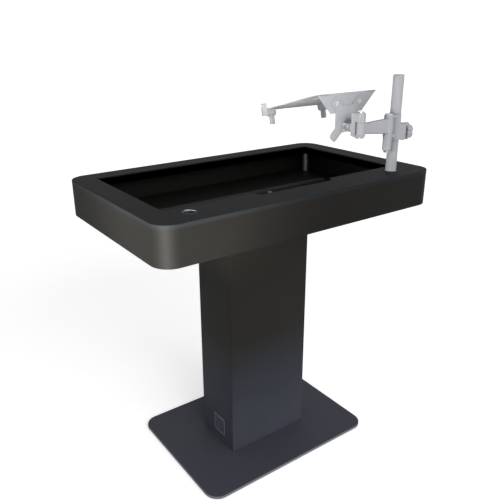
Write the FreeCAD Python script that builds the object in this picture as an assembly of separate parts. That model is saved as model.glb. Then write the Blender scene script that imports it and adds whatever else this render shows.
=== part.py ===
import FreeCAD, Part
import math
import os

# Stand-up DJ booth: a table with a sunken well in its top, on a box column and a flat base,
# with a sloping tray on a jointed arm that clamps to a pole in one of the two tabletop sockets.
# Millimetres, +Z up, origin on the floor under the middle of the table.
# -Y is the audience's side, called front here, and +Y is the player's side, called rear.

V = FreeCAD.Vector
X_AXIS = V(1, 0, 0)
Y_AXIS = V(0, 1, 0)
Z_AXIS = V(0, 0, 1)

# Table outline
table_height = 1010.0
table_length = 1042.0
table_depth = 642.0
table_corner_radius = 58.0
apron_height = 118.0
apron_wall = 3.0
top_thickness = 4.0
table_edge_round = 1.5

# Well cut-out with its shallow notch towards the audience
well_side_rim = 78.0
well_front_rim = 122.0
well_rear_rim = 73.0
notch_mouth = 308.0
notch_root = 274.0
notch_depth = 26.0
lip_depth = 24.0
lip_wall = 3.0

# Table floor, its cable port and the rails with their rubber strips
floor_recess = 6.0
floor_thickness = 4.0
floor_edge_gap = 0.5
port_length = 140.0
port_depth = 60.0
port_corner_radius = 12.0
port_trim_wall = 4.0
port_trim_flange = 7.0
port_trim_flange_height = 2.0
rail_end_gap = 43.0
rail_width = 60.0
rail_height = 6.0
rail_spacing = 150.0
strip_width = 24.0
strip_height = 8.0
strip_shift = 15.0

# Corner posts and the long bolts that pull the top frame down on them
post_diameter = 32.0
post_shift = 20.0
post_bolt_diameter = 8.0
post_bolt_grip = 2.5

# Pole sockets
pole_diameter = 35.0
socket_end_inset = 131.0
socket_front_inset = 74.0
socket_play = 0.7
socket_tube_wall = 4.0
socket_ring_wall = 2.0
socket_screw_diameter = 8.0
socket_screw_drop = 58.0
socket_screw_neck = 7.0
socket_knob_diameter = 24.0
socket_knob_length = 16.0

# Column
column_width = 328.0
column_depth = 197.0
column_sheet = 2.5
column_bend_radius = 2.4
cover_thickness = 2.5
cover_gap = 0.4
cover_lap = 22.0
cover_screw_rows = 5
cover_screw_margin = 50.0
cover_screw_diameter = 4.0
flange_gap = 0.3
foot_flange_thickness = 10.0
head_flange_thickness = 8.0
column_bolt_spacing_x = 240.0
column_bolt_spacing_y = 124.0
column_bolt_diameter = 10.0

# Cable grommet at the foot of the rear cover
grommet_length = 72.0
grommet_height = 38.0
grommet_corner_radius = 12.0
grommet_wall = 4.0
grommet_flange = 6.0
grommet_flange_depth = 3.0
grommet_centre_height = 80.0

# Name plate on the column's side
name_plate_size = 72.0
name_plate_thickness = 1.5
name_plate_corner_radius = 5.0
name_plate_height = 82.0
name_plate_shift = -12.0
rivet_diameter = 3.0
rivet_head_diameter = 6.0
rivet_head_height = 1.0
rivet_inset = 7.0

# Base plate and feet
base_length = 704.0
base_depth = 512.0
base_thickness = 10.0
base_corner_radius = 50.0
base_edge_round = 1.5
foot_diameter = 40.0
foot_proud = 2.0
foot_pocket = 3.0
foot_inset = 60.0
base_bolt_sink = 1.0

# Pole and collar
pole_wall = 3.0
pole_rise = 307.0
pole_cap_height = 4.0
pole_cap_spigot = 14.0
collar_drop = 121.0
collar_height = 69.0
collar_play = 0.3
collar_wall = 7.0
collar_round = 8.0
clamp_drop = 12.0
clamp_height = 50.0
collar_screw_wall = 16.0
collar_screw_rise = 8.0
collar_screw_diameter = 10.0
collar_neck = 5.0
collar_knob_diameter = 56.0
collar_knob_length = 24.0
knob_lobes = 6

# Swing knuckle between collar and arm link
knuckle_reach = 42.0
knuckle_turn = 13.0
ear_thickness = 8.0
knuckle_radius = 15.0
swing_pin_diameter = 12.0
swing_pin_head_diameter = 26.0
swing_pin_head_height = 5.0
tension_barrel_diameter = 28.0
tension_barrel_length = 44.0
tension_nut_diameter = 19.0
tension_nut_height = 6.0

# Arm link
link_length = 110.0
link_rest_angle = 172.3
link_width_near = 22.0
link_width_far = 18.0
link_end_height = 38.0
link_inset = 2.5
link_corner = 5.0
link_sink_share = 0.5

# Head knuckle with its pan pin and tilt pin
head_radius = 14.0
head_ear_thickness = 7.0
head_crown = 28.0
head_reach = 44.0
head_width = 26.0
pan_pin_diameter = 10.0
pan_pin_head_diameter = 20.0
pan_pin_head_height = 4.0
tilt_radius = 13.0
tilt_pin_diameter = 10.0
tilt_ear_thickness = 7.0
tilt_pin_head_diameter = 18.0
tilt_pin_head_height = 4.0

# Head plate with its square of screw holes
plate_gap = 5.0
plate_thickness = 4.0
plate_hole_spacing = 100.0
plate_hole_diameter = 4.6
plate_arm_width = 31.0
plate_arm_tail = 16.0
plate_arm_round = 8.0
plate_core_width = 98.0
plate_core_height = 84.0
plate_rise = 25.0
plate_bolt_diameter = 4.0
plate_bolt_flange_diameter = 14.0
plate_bolt_flange_height = 1.6
plate_nut_diameter = 8.0
plate_nut_height = 3.2

# Tray bracket and tray
tray_slope = 14.5
bracket_thickness = 3.0
bracket_top_width = 250.0
bracket_low_width = 140.0
bracket_rise = 78.0
bracket_leg_width = 168.0
bracket_leg_length = 70.0
tray_width = 279.0
tray_depth = 282.0
tray_thickness = 3.0
tray_corner_radius = 18.0
tray_screw_diameter = 4.0
tray_screw_spacing_x = 120.0
tray_screw_spacing_y = 36.0
tray_screw_grip = 2.5
pad_width = 16.0
pad_length = 210.0
pad_height = 3.5
pad_spacing = 90.0

# Corner grips and their thumbscrews
grip_length = 41.0
grip_width = 28.0
grip_block_height = 20.0
grip_overhang = 8.0
grip_finger_thickness = 5.0
grip_finger_rise = 17.0
grip_travel = 15.0
grip_player_inset = 34.0
thumb_stud_diameter = 6.0
thumb_stud_shift = 12.0
thumb_disc_diameter = 16.0
thumb_disc_height = 1.8
thumb_flange_diameter = 30.0
thumb_flange_height = 2.0
thumb_knob_diameter = 19.0
thumb_knob_length = 28.0
flute_count = 10
flute_radius = 2.2

# Fits and cuts
screw_play = 0.15
pin_play = 0.08
slide_gap = 0.3
overrun = 1.0
head_width_share = 1.6
head_height_share = 0.55
hex_width_share = 0.45
hex_depth_share = 0.55
scallop_share = 0.28
edge_round_share = 0.35
edge_chamfer_share = 0.25

# Levels and places worked out from the sizes above
half_length = table_length / 2
half_depth = table_depth / 2
top_z = table_height
frame_z = table_height - top_thickness
apron_z = table_height - apron_height
floor_z = apron_z + floor_recess
floor_top_z = floor_z + floor_thickness
well_half = half_length - well_side_rim
well_front_y = -half_depth + well_front_rim
well_rear_y = half_depth - well_rear_rim
base_top_z = foot_proud + base_thickness
socket_y = -half_depth + socket_front_inset
socket_bore_radius = pole_diameter / 2 + socket_play
socket_tube_radius = socket_bore_radius + socket_tube_wall
socket_ring_radius = socket_bore_radius + socket_ring_wall
column_half_width = column_width / 2
column_half_depth = column_depth / 2
rail_y = rail_spacing / 2
rail_length = 2 * (well_half - rail_end_gap)
pole_x = half_length - socket_end_inset
pole_y = socket_y
pole_top_z = table_height + pole_rise
collar_top_z = pole_top_z - collar_drop
collar_low_z = collar_top_z - collar_height
collar_screw_z = collar_low_z + collar_screw_rise
knuckle_x = pole_x - knuckle_reach * math.cos(math.radians(knuckle_turn))
knuckle_y = pole_y - knuckle_reach * math.sin(math.radians(knuckle_turn))
link_low_z = collar_low_z + ear_thickness + slide_gap
link_high_z = collar_top_z - ear_thickness - slide_gap
link_mid_z = (link_low_z + link_high_z) / 2
link_turn = math.radians(link_rest_angle)
link_direction = V(math.cos(link_turn), math.sin(link_turn), 0)
head_x = knuckle_x + link_length * link_direction.x
head_y = knuckle_y + link_length * link_direction.y
head_low_z = link_mid_z - link_end_height / 2
head_high_z = link_mid_z + link_end_height / 2
tilt_y = head_y + head_reach
tilt_z = link_mid_z
plate_y = tilt_y + tilt_radius + plate_gap
plate_front_y = plate_y + plate_thickness
plate_z = tilt_z + plate_rise
bend_z = plate_z + bracket_rise
SIDES = {"left": -1, "right": 1}
ENDS = {"front": -1, "rear": 1}


def box(x_span, y_span, z_span):
    """Box between the low and high values of three spans."""
    corner = V(x_span[0], y_span[0], z_span[0])
    return Part.makeBox(x_span[1] - x_span[0], y_span[1] - y_span[0], z_span[1] - z_span[0], corner)


def spread(centre, size):
    """Low and high value of a size about its centre."""
    return (centre - size / 2, centre + size / 2)


def rod(radius, start, axis, length):
    """Round bar from a point along an axis."""
    return Part.makeCylinder(radius, length, start, axis)


def rounded_outline(length, depth, radius):
    """Closed rounded-rectangle wire about the origin in the XY plane."""
    a = length / 2
    b = depth / 2
    r = radius
    bow = r * (1 - math.sqrt(0.5))
    points = [V(a - r, -b, 0), V(a, -b + r, 0), V(a, b - r, 0), V(a - r, b, 0)]
    points += [V(-a + r, b, 0), V(-a, b - r, 0), V(-a, -b + r, 0), V(-a + r, -b, 0)]
    bends = [V(a - bow, -b + bow, 0), V(a - bow, b - bow, 0)]
    bends += [V(-a + bow, b - bow, 0), V(-a + bow, -b + bow, 0)]
    edges = []
    for i in range(4):
        start = points[2 * i]
        end = points[2 * i + 1]
        edges.append(Part.Arc(start, bends[i], end).toShape())
        edges.append(Part.LineSegment(end, points[(2 * i + 2) % len(points)]).toShape())
    return Part.Wire(edges)


def rounded_slab(length, depth, radius, low, high):
    """Upright rounded-rectangle prism about the origin between two levels."""
    slab = Part.Face(rounded_outline(length, depth, radius)).extrude(V(0, 0, high - low))
    slab.translate(V(0, 0, low))
    return slab


def polygon_face(points):
    """Flat face inside a closed run of points."""
    return Part.Face(Part.makePolygon(list(points) + [points[0]]))


def edges_at(shape, level):
    """Edges of a shape that lie wholly at one height."""
    found = []
    for edge in shape.Edges:
        bounds = edge.BoundBox
        if abs(bounds.ZMin - level) < pin_play and abs(bounds.ZMax - level) < pin_play:
            found.append(edge)
    return found


def hex_points(centre, axis, radius):
    """Corners of a regular hexagon square to an axis."""
    side = axis.cross(X_AXIS)
    if abs(axis.x) > abs(axis.y) + abs(axis.z):
        side = axis.cross(Y_AXIS)
    side.normalize()
    other = axis.cross(side)
    found = []
    for i in range(6):
        angle = i * math.pi / 3
        found.append(centre + side * (radius * math.cos(angle)) + other * (radius * math.sin(angle)))
    return found


def hex_bar(start, axis, diameter, length):
    """Hexagonal bar from a point along an axis."""
    return polygon_face(hex_points(start, axis, diameter / 2)).extrude(axis * length)


def socket_screw(seat, axis, diameter, length):
    """Hex-socket screw: shank from its seat along the axis, head on the other side of the seat."""
    head_height = diameter * head_height_share
    top = seat - axis * head_height
    screw = rod(diameter * head_width_share / 2, top, axis, head_height)
    screw = screw.fuse(rod(diameter / 2, seat, axis, length))
    depth = head_height * hex_depth_share + overrun
    recess = hex_bar(top - axis * overrun, axis, 2 * diameter * hex_width_share, depth)
    return screw.cut(recess).removeSplitter()


def lobed_knob(centre, axis, diameter, length, lobes):
    """Hand knob along an axis with scallops cut between its lobes."""
    radius = diameter / 2
    knob = rod(radius, centre, axis, length)
    side = hex_points(centre, axis, radius)[0] - centre
    scallop = radius * scallop_share
    for i in range(lobes):
        turn = FreeCAD.Rotation(axis, 360 * (i + 0.5) / lobes)
        place = centre + turn.multVec(side) * (1 + scallop_share / 2) - axis * overrun
        knob = knob.cut(rod(scallop, place, axis, length + 2 * overrun))
    return knob


def group(shapes):
    """Separate solids that share one node."""
    return Part.makeCompound(list(shapes))


def write(shape, node):
    shape.exportStep("parts/" + node + ".step")


def corners(spacing_x, spacing_y):
    """Four corner places of a rectangle about the origin."""
    return [V(sx * spacing_x / 2, sy * spacing_y / 2, 0) for sx in (-1, 1) for sy in (-1, 1)]


column_bolts = corners(column_bolt_spacing_x, column_bolt_spacing_y)
column_bolt_radius = column_bolt_diameter / 2
column_hole_radius = column_bolt_radius + screw_play
post_x = half_length - table_corner_radius + post_shift
post_y = half_depth - table_corner_radius + post_shift
post_places = corners(2 * post_x, 2 * post_y)
post_hole_radius = post_bolt_diameter / 2 + screw_play


def drill(shape, places, radius, low, high):
    """Cut upright holes at places between two levels, past both ends."""
    for place in places:
        start = V(place.x, place.y, low - overrun)
        shape = shape.cut(rod(radius, start, Z_AXIS, high - low + 2 * overrun))
    return shape


# Base plate, feet and bolts
def make_base():
    plate = rounded_slab(base_length, base_depth, base_corner_radius, foot_proud, base_top_z)
    plate = plate.makeFillet(base_edge_round, edges_at(plate, base_top_z))
    feet = corners(base_length - 2 * foot_inset, base_depth - 2 * foot_inset)
    below = V(0, 0, foot_proud - overrun)
    pocket_radius = foot_diameter / 2 + slide_gap
    for place in feet:
        plate = plate.cut(rod(pocket_radius, place + below, Z_AXIS, foot_pocket + overrun))
    bore_radius = column_bolt_diameter * head_width_share / 2 + slide_gap
    bore_depth = column_bolt_diameter * head_height_share + base_bolt_sink
    seat_z = foot_proud + bore_depth
    plate = drill(plate, column_bolts, column_hole_radius, foot_proud, base_top_z)
    for place in column_bolts:
        plate = plate.cut(rod(bore_radius, place + below, Z_AXIS, bore_depth + overrun))
    write(plate, "base_plate")
    names = ["foot_front_left", "foot_rear_left", "foot_front_right", "foot_rear_right"]
    for place, node in zip(feet, names):
        write(rod(foot_diameter / 2, place, Z_AXIS, foot_proud + foot_pocket), node)
    reach = base_top_z + foot_flange_thickness - seat_z
    seats = [place + V(0, 0, seat_z) for place in column_bolts]
    write(group(socket_screw(seat, Z_AXIS, column_bolt_diameter, reach) for seat in seats), "base_bolts")


# Column: folded shell, screwed rear cover, flanges at both ends
def make_column():
    w = column_half_width
    d = column_half_depth
    t = column_sheet
    seat_y = d - cover_thickness
    lap_x = w - t - cover_lap
    half = [V(w, -d, 0), V(w, d, 0), V(w - t, d, 0), V(w - t, seat_y, 0), V(lap_x, seat_y, 0)]
    half += [V(lap_x, seat_y - t, 0), V(w - t, seat_y - t, 0), V(w - t, -d + t, 0)]
    outline = half + [V(-point.x, point.y, 0) for point in reversed(half)]
    shell = polygon_face(outline).extrude(V(0, 0, floor_z - base_top_z))
    shell.translate(V(0, 0, base_top_z))
    bends = []
    for edge in shell.Edges:
        middle = edge.CenterOfMass
        if abs(abs(middle.x) - w) < pin_play and abs(middle.y + d) < pin_play:
            if edge.BoundBox.ZLength > column_sheet:
                bends.append(edge)
    shell = shell.makeFillet(column_bend_radius, bends)

    cover_half = w - t - cover_gap
    cover = box((-cover_half, cover_half), (seat_y, d), (base_top_z + cover_gap, floor_z - cover_gap))
    screw_x = lap_x + cover_lap / 2
    first = base_top_z + cover_screw_margin
    step = (floor_z - cover_screw_margin - first) / (cover_screw_rows - 1)
    levels = [first + step * i for i in range(cover_screw_rows)]
    hole_radius = cover_screw_diameter / 2 + screw_play
    screws = []
    for level in levels:
        for side in SIDES.values():
            place = V(side * screw_x, d, level)
            hole = rod(hole_radius, place + Y_AXIS * overrun, -Y_AXIS, cover_thickness + t + 2 * overrun)
            shell = shell.cut(hole)
            cover = cover.cut(hole)
            screws.append(socket_screw(place, -Y_AXIS, cover_screw_diameter, cover_thickness + t))
    grommet_hole = rounded_slab(grommet_length, grommet_height, grommet_corner_radius,
                                -overrun, cover_thickness + overrun)
    grommet = rounded_slab(grommet_length - 2 * slide_gap, grommet_height - 2 * slide_gap,
                           grommet_corner_radius, 0, cover_thickness)
    rim = rounded_slab(grommet_length + 2 * grommet_flange, grommet_height + 2 * grommet_flange,
                       grommet_corner_radius + grommet_flange, -grommet_flange_depth, 0)
    way = rounded_slab(grommet_length - 2 * grommet_wall, grommet_height - 2 * grommet_wall,
                       grommet_corner_radius - grommet_wall,
                       -grommet_flange_depth - overrun, cover_thickness + overrun)
    rim = rim.makeFillet(grommet_flange_depth * edge_round_share, edges_at(rim, -grommet_flange_depth))
    grommet = grommet.fuse(rim).cut(way).removeSplitter()
    stand = FreeCAD.Placement(V(0, d, grommet_centre_height), FreeCAD.Rotation(X_AXIS, 90))
    grommet_hole.Placement = stand.multiply(grommet_hole.Placement)
    grommet.Placement = stand.multiply(grommet.Placement)
    cover = cover.cut(grommet_hole)

    inner_x = w - t - flange_gap
    inner_y = (-d + t + flange_gap, seat_y - t - flange_gap)
    foot_z = (base_top_z, base_top_z + foot_flange_thickness)
    foot_flange = box((-inner_x, inner_x), inner_y, foot_z)
    foot_flange = drill(foot_flange, column_bolts, column_hole_radius, foot_z[0], foot_z[1])
    head_z = (floor_z - head_flange_thickness, floor_z)
    head_flange = box((-inner_x, inner_x), inner_y, head_z)
    head_flange = drill(head_flange, column_bolts, column_hole_radius, head_z[0], head_z[1])
    port = rounded_slab(port_length, port_depth, port_corner_radius, head_z[0] - overrun, head_z[1] + overrun)
    head_flange = head_flange.cut(port)

    plate = rounded_slab(name_plate_size, name_plate_size, name_plate_corner_radius, 0, name_plate_thickness)
    plate = plate.makeFillet(name_plate_thickness * edge_round_share, edges_at(plate, name_plate_thickness))
    turn = FreeCAD.Placement(V(-w, name_plate_shift, name_plate_height), FreeCAD.Rotation(Y_AXIS, -90))
    plate.Placement = turn.multiply(plate.Placement)
    rivets = []
    face = V(-w - name_plate_thickness, name_plate_shift, name_plate_height)
    rivet_spacing = name_plate_size - 2 * rivet_inset
    grip = name_plate_thickness + t
    for place in corners(rivet_spacing, rivet_spacing):
        seat = face + V(0, place.x, place.y)
        hole = rod(rivet_diameter / 2 + screw_play, seat - X_AXIS * overrun, X_AXIS, grip + 2 * overrun)
        plate = plate.cut(hole)
        shell = shell.cut(hole)
        head = rod(rivet_head_diameter / 2, seat - X_AXIS * rivet_head_height, X_AXIS, rivet_head_height)
        rivets.append(head.fuse(rod(rivet_diameter / 2, seat, X_AXIS, grip)).removeSplitter())

    write(shell, "column_shell")
    write(cover, "column_rear_cover")
    write(group(screws), "rear_cover_screws")
    write(grommet, "cable_grommet")
    write(foot_flange, "column_foot_flange")
    write(head_flange, "column_head_flange")
    write(plate, "name_plate")
    write(group(rivets), "name_plate_rivets")


def well_face(grow):
    """Face of the well cut-out with its notch, grown outwards by a margin."""
    root_y = well_front_y - notch_depth
    half = [V(well_half, well_rear_y, 0), V(well_half, well_front_y, 0)]
    half += [V(notch_mouth / 2, well_front_y, 0), V(notch_root / 2, root_y, 0)]
    face = polygon_face(half + [V(-point.x, point.y, 0) for point in reversed(half)])
    if grow > 0:
        face = face.makeOffset2D(grow, join=2)
    return face


def upright(face, low, high):
    """Extrude a face in the XY plane between two levels."""
    solid = face.extrude(V(0, 0, high - low))
    solid.translate(V(0, 0, low))
    return solid


# Table box: band, top frame with its folded lip, floor and corner posts
def make_table():
    inner_radius = table_corner_radius - apron_wall
    band = rounded_slab(table_length, table_depth, table_corner_radius, apron_z, frame_z)
    band = band.makeFillet(table_edge_round, edges_at(band, apron_z))
    hollow = rounded_slab(table_length - 2 * apron_wall, table_depth - 2 * apron_wall, inner_radius,
                          apron_z - overrun, frame_z + overrun)
    write(band.cut(hollow), "apron_band")

    frame = rounded_slab(table_length, table_depth, table_corner_radius, frame_z, top_z)
    frame = frame.makeFillet(table_edge_round, edges_at(frame, top_z))
    lip = upright(well_face(lip_wall), frame_z - lip_depth, frame_z + top_thickness / 2)
    frame = frame.fuse(lip).cut(upright(well_face(0), frame_z - lip_depth - overrun, top_z + overrun))
    sockets = [V(side * pole_x, socket_y, 0) for side in SIDES.values()]
    frame = drill(frame, sockets, socket_ring_radius + screw_play, frame_z, top_z)
    for place in post_places:
        start = V(place.x, place.y, frame_z - overrun)
        frame = frame.cut(rod(post_hole_radius, start, Z_AXIS, post_bolt_grip + screw_play + overrun))
    write(frame.removeSplitter(), "top_frame")

    margin = apron_wall + floor_edge_gap
    floor = rounded_slab(table_length - 2 * margin, table_depth - 2 * margin, table_corner_radius - margin,
                         floor_z, floor_top_z)
    port = rounded_slab(port_length, port_depth, port_corner_radius, floor_z - overrun, floor_top_z + overrun)
    floor = floor.cut(port)
    floor = drill(floor, column_bolts, column_hole_radius, floor_z, floor_top_z)
    floor = drill(floor, post_places, post_hole_radius, floor_z, floor_top_z)
    write(floor, "well_floor")

    post_names = ["post_front_left", "post_rear_left", "post_front_right", "post_rear_right"]
    for place, node in zip(post_places, post_names):
        post = rod(post_diameter / 2, place + V(0, 0, floor_top_z), Z_AXIS, frame_z - floor_top_z)
        write(drill(post, [place], post_hole_radius, floor_top_z, frame_z), node)
    reach = frame_z + post_bolt_grip - floor_z
    seats = [place + V(0, 0, floor_z) for place in post_places]
    write(group(socket_screw(seat, Z_AXIS, post_bolt_diameter, reach) for seat in seats), "corner_bolts")


# Inside of the well: cable port trim, rails on the floor, rubber strips on the rails
def make_well():
    trim_low_z = floor_z - head_flange_thickness
    trim_top_z = floor_top_z + port_trim_flange_height
    sleeve = rounded_slab(port_length - 2 * slide_gap, port_depth - 2 * slide_gap, port_corner_radius,
                          trim_low_z, floor_top_z)
    rim = rounded_slab(port_length + 2 * port_trim_flange, port_depth + 2 * port_trim_flange,
                       port_corner_radius + port_trim_flange, floor_top_z, trim_top_z)
    rim = rim.makeFillet(port_trim_flange_height * edge_round_share, edges_at(rim, trim_top_z))
    way = rounded_slab(port_length - 2 * port_trim_wall, port_depth - 2 * port_trim_wall,
                       port_corner_radius - port_trim_wall, trim_low_z - overrun, trim_top_z + overrun)
    write(sleeve.fuse(rim).cut(way).removeSplitter(), "port_grommet")

    rail_top_z = floor_top_z + rail_height
    for end, sign in ENDS.items():
        rail = box(spread(0, rail_length), spread(sign * rail_y, rail_width), (floor_top_z, rail_top_z))
        rail = drill(rail, column_bolts, column_hole_radius, floor_top_z, rail_top_z)
        write(rail, "rest_rail_" + end)
        strip_y = sign * (rail_y + strip_shift)
        strip_top_z = rail_top_z + strip_height
        strip = box(spread(0, rail_length), spread(strip_y, strip_width), (rail_top_z, strip_top_z))
        strip = strip.makeChamfer(strip_height * edge_chamfer_share, edges_at(strip, strip_top_z))
        write(strip, "rest_strip_" + end)
    reach = rail_height + floor_thickness + head_flange_thickness
    seats = [place + V(0, 0, rail_top_z) for place in column_bolts]
    write(group(socket_screw(seat, -Z_AXIS, column_bolt_diameter, reach) for seat in seats), "head_bolts")


# Pole sockets: a tube on the floor, a ring in the tabletop and a clamp screw from the well's side
def make_sockets():
    screw_z = frame_z - socket_screw_drop
    screw_radius = socket_screw_diameter / 2
    for side, sign in SIDES.items():
        centre = V(sign * pole_x, socket_y, 0)
        tube = rod(socket_tube_radius, centre + V(0, 0, floor_top_z), Z_AXIS, frame_z - floor_top_z)
        tube = drill(tube, [centre], socket_bore_radius, floor_top_z, frame_z)
        axis_point = centre + V(0, 0, screw_z)
        tube = tube.cut(rod(screw_radius + pin_play, axis_point, Y_AXIS, socket_tube_radius + overrun))
        write(tube, "socket_tube_" + side)
        ring = rod(socket_ring_radius, centre + V(0, 0, frame_z), Z_AXIS, top_thickness)
        write(drill(ring, [centre], socket_bore_radius, frame_z, top_z), "socket_ring_" + side)
        tip = axis_point + Y_AXIS * (socket_bore_radius + slide_gap)
        knob_start = axis_point + Y_AXIS * (socket_tube_radius + socket_screw_neck)
        stud = rod(screw_radius, tip, Y_AXIS, (knob_start - tip).Length)
        knob = lobed_knob(knob_start, Y_AXIS, socket_knob_diameter, socket_knob_length, knob_lobes)
        write(stud.fuse(knob).removeSplitter(), "socket_screw_" + side)


# Pole, collar and clamp knob
def make_mast():
    radius = pole_diameter / 2
    foot = V(pole_x, pole_y, floor_top_z)
    tube_top_z = pole_top_z - pole_cap_height
    pole = rod(radius, foot, Z_AXIS, tube_top_z - floor_top_z)
    pole = drill(pole, [foot], radius - pole_wall, floor_top_z, tube_top_z)
    write(pole, "pole")
    cap = rod(radius, V(pole_x, pole_y, tube_top_z), Z_AXIS, pole_cap_height)
    cap = cap.makeFillet(pole_cap_height * edge_round_share, edges_at(cap, pole_top_z))
    spigot_low = V(pole_x, pole_y, tube_top_z - pole_cap_spigot)
    cap = cap.fuse(rod(radius - pole_wall - screw_play, spigot_low, Z_AXIS, pole_cap_spigot)).removeSplitter()
    write(cap, "pole_cap")

    bore = radius + collar_play
    sleeve_radius = bore + collar_wall
    far_x = pole_x + bore + collar_screw_wall
    clamp_low_z = collar_low_z - clamp_drop
    clamp_top_z = clamp_low_z + clamp_height
    clamp_y = spread(pole_y, 2 * sleeve_radius)
    block = box((pole_x, far_x), clamp_y, (clamp_low_z, clamp_top_z))
    uprights = [edge for edge in block.Edges if edge.BoundBox.ZLength > clamp_height / 2]
    outer = [edge for edge in uprights if edge.CenterOfMass.x > pole_x + bore]
    block = block.makeFillet(collar_round, outer)
    sleeve = rod(sleeve_radius, V(pole_x, pole_y, clamp_low_z), Z_AXIS, collar_top_z - clamp_low_z)
    block = block.fuse(sleeve.cut(box((pole_x, far_x), clamp_y, (clamp_top_z, collar_top_z + overrun))))
    knuckle = V(knuckle_x, knuckle_y, 0)
    for low in (collar_low_z, collar_top_z - ear_thickness):
        ear_x = pole_x - knuckle_reach
        web = box((ear_x, pole_x), spread(pole_y, 2 * knuckle_radius), (low, low + ear_thickness))
        ear = rod(knuckle_radius, V(ear_x, pole_y, low), Z_AXIS, ear_thickness).fuse(web)
        ear.rotate(V(pole_x, pole_y, 0), Z_AXIS, knuckle_turn)
        block = block.fuse(ear)
    block = drill(block, [V(pole_x, pole_y, 0)], bore, clamp_low_z, collar_top_z)
    block = drill(block, [knuckle], swing_pin_diameter / 2 + screw_play, collar_low_z, collar_top_z)
    screw_radius = collar_screw_diameter / 2
    middle = V(pole_x, pole_y, collar_screw_z)
    block = block.cut(rod(screw_radius + pin_play, middle, X_AXIS, far_x - pole_x + overrun))
    write(block.removeSplitter(), "collar")
    tip = middle + X_AXIS * (radius + slide_gap)
    knob_start = V(far_x + collar_neck, pole_y, collar_screw_z)
    stud = rod(screw_radius, tip, X_AXIS, (knob_start - tip).Length)
    knob = lobed_knob(knob_start, X_AXIS, collar_knob_diameter, collar_knob_length, knob_lobes)
    write(stud.fuse(knob).removeSplitter(), "collar_knob")


# Swing pin with its tension barrel, and the arm link
def make_arm():
    knuckle = V(knuckle_x, knuckle_y, 0)
    pin_radius = swing_pin_diameter / 2
    barrel_low_z = collar_low_z - tension_barrel_length
    nut_low_z = barrel_low_z - tension_nut_height
    pin = rod(pin_radius, knuckle + V(0, 0, nut_low_z), Z_AXIS, collar_top_z - nut_low_z)
    head = rod(swing_pin_head_diameter / 2, knuckle + V(0, 0, collar_top_z), Z_AXIS, swing_pin_head_height)
    head_top_z = collar_top_z + swing_pin_head_height
    head = head.makeFillet(swing_pin_head_height * edge_round_share, edges_at(head, head_top_z))
    write(pin.fuse(head).removeSplitter(), "swing_pin")
    barrel = rod(tension_barrel_diameter / 2, knuckle + V(0, 0, barrel_low_z), Z_AXIS, tension_barrel_length)
    barrel = barrel.makeChamfer(ear_thickness * edge_chamfer_share, edges_at(barrel, barrel_low_z))
    write(drill(barrel, [knuckle], pin_radius + screw_play, barrel_low_z, collar_low_z), "tension_barrel")
    nut = hex_bar(knuckle + V(0, 0, nut_low_z), Z_AXIS, tension_nut_diameter, tension_nut_height)
    write(drill(nut, [knuckle], pin_radius + screw_play, nut_low_z, barrel_low_z), "tension_nut")

    head_axis = V(head_x, head_y, 0)
    near = rod(knuckle_radius, knuckle + V(0, 0, link_low_z), Z_AXIS, link_high_z - link_low_z)
    far = rod(head_radius, head_axis + V(0, 0, head_low_z), Z_AXIS, link_end_height)
    near_height = link_high_z - link_low_z - 2 * link_inset
    far_height = link_end_height - 2 * link_inset
    sections = []
    ends = [(link_sink_share * knuckle_radius, link_width_near, near_height)]
    ends += [(link_length - link_sink_share * head_radius, link_width_far, far_height)]
    for reach, width, height in ends:
        outline = rounded_outline(width, height, link_corner)
        turn = FreeCAD.Rotation(Z_AXIS, link_rest_angle + 90).multiply(FreeCAD.Rotation(X_AXIS, 90))
        outline.Placement = FreeCAD.Placement(knuckle + link_direction * reach + V(0, 0, link_mid_z), turn)
        sections.append(outline)
    web = Part.makeLoft(sections, True, True)
    link = near.fuse([far, web])
    link = drill(link, [knuckle], pin_radius + pin_play, link_low_z, link_high_z)
    link = drill(link, [head_axis], pan_pin_diameter / 2 + pin_play, head_low_z, head_high_z)
    write(link.removeSplitter(), "arm_link")


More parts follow.
